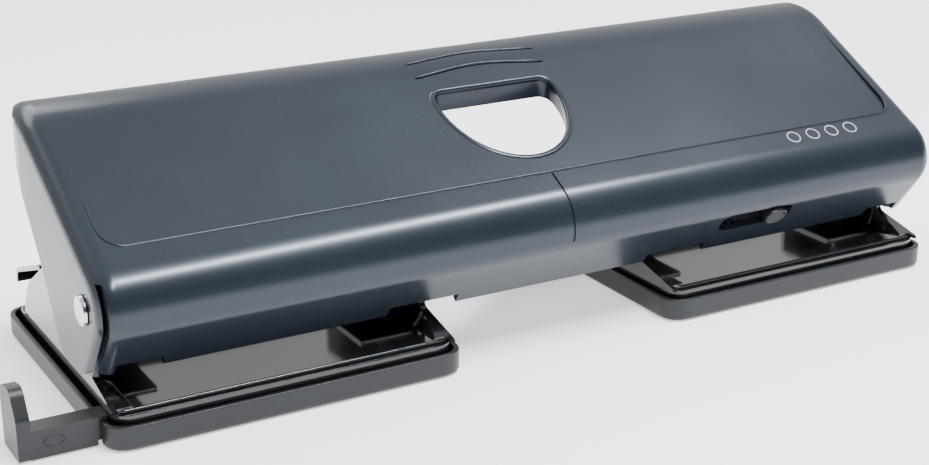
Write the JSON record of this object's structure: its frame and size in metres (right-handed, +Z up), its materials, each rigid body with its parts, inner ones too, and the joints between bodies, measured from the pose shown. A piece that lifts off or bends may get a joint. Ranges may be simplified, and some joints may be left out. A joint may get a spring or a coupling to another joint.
{
  "type": "hole punch",
  "caption": "Long lever paper punch on separate stamped feet, with a rolled sheet handle, sprung punch pins, chad trays, a locking slide and a pull-out paper guide",
  "frame": {"origin": "centre of the object's footprint, on the table", "axes": "+X along the handle toward the end with the lock, +Y toward the raised rear edge of the handle, +Z up; paper goes in from -Y"},
  "size_m": [0.276, 0.088, 0.0693],
  "materials": {
    "handle_paint": "satin",
    "base_paint": "gloss",
    "plastic": "satin",
    "steel": "polished",
    "zinc": "satin",
    "nylon": "satin"
  },
  "bodies": {
    "frame": {"base_plate_left": "base_paint", "base_plate_right": "base_paint", "punch_bracket_1": "zinc", "return_spring_1": "steel", "bracket_rivet_1_1": "steel", "bracket_rivet_1_2": "steel", "punch_bracket_2": "zinc", "return_spring_2": "steel", "bracket_rivet_2_1": "steel", "bracket_rivet_2_2": "steel", "punch_bracket_3": "zinc", "return_spring_3": "steel", "bracket_rivet_3_1": "steel", "bracket_rivet_3_2": "steel", "punch_bracket_4": "zinc", "return_spring_4": "steel", "bracket_rivet_4_1": "steel", "bracket_rivet_4_2": "steel", "hinge_channel": "zinc", "rear_bridge": "base_paint", "lock_catch": "zinc", "pivot_rivet_left": "steel", "pivot_washer_left": "nylon", "pivot_rivet_right": "steel", "pivot_washer_right": "nylon"},
    "handle": {"handle_shell": "handle_paint", "pressure_bar_left": "zinc", "pressure_bar_right": "zinc"},
    "lock": {"lock_slider": "base_paint", "lock_button": "plastic"},
    "guide": {"paper_guide": "plastic"},
    "tray_left": {"chad_tray_left": "plastic"},
    "tray_right": {"chad_tray_right": "plastic"},
    "pin_1": {"punch_pin_1": "steel", "spring_cup_1": "zinc"},
    "pin_2": {"punch_pin_2": "steel", "spring_cup_2": "zinc"},
    "pin_3": {"punch_pin_3": "steel", "spring_cup_3": "zinc"},
    "pin_4": {"punch_pin_4": "steel", "spring_cup_4": "zinc"}
  },
  "joints": [
    {"name": "handle_hinge", "type": "hinge", "parent": "frame", "child": "handle", "pos_m": [0, -0.031, 0.032], "axis": [-1, 0, 0], "range_deg": [0, 20], "stiffness_Nm_per_rad": 1, "springref_deg": -34.38},
    {"name": "pin_1_slide", "type": "slide", "parent": "frame", "child": "pin_1", "axis": [0, 0, -1], "range_m": [0, 0.0066], "deforming": ["return_spring_1"]},
    {"name": "pin_2_slide", "type": "slide", "parent": "frame", "child": "pin_2", "axis": [0, 0, -1], "range_m": [0, 0.0066], "deforming": ["return_spring_2"]},
    {"name": "pin_3_slide", "type": "slide", "parent": "frame", "child": "pin_3", "axis": [0, 0, -1], "range_m": [0, 0.0066], "deforming": ["return_spring_3"]},
    {"name": "pin_4_slide", "type": "slide", "parent": "frame", "child": "pin_4", "axis": [0, 0, -1], "range_m": [0, 0.0066], "deforming": ["return_spring_4"]},
    {"name": "lock_slide", "type": "slide", "parent": "handle", "child": "lock", "axis": [-1, 0, 0], "range_m": [0, 0.01]},
    {"name": "guide_slide", "type": "slide", "parent": "frame", "child": "guide", "axis": [-1, 0, 0], "range_m": [-0.0155, 0.045]},
    {"name": "tray_left_pull", "type": "slide", "parent": "frame", "child": "tray_left", "axis": [0, 0, -1], "range_m": [0, 0.012]},
    {"name": "tray_right_pull", "type": "slide", "parent": "frame", "child": "tray_right", "axis": [0, 0, -1], "range_m": [0, 0.012]}
  ],
  "couplings": [
    {"joint": "pin_1_slide", "follows": "handle_hinge", "m_per_rad": 0.0188},
    {"joint": "pin_2_slide", "follows": "handle_hinge", "m_per_rad": 0.0188},
    {"joint": "pin_3_slide", "follows": "handle_hinge", "m_per_rad": 0.0188},
    {"joint": "pin_4_slide", "follows": "handle_hinge", "m_per_rad": 0.0188}
  ]
}
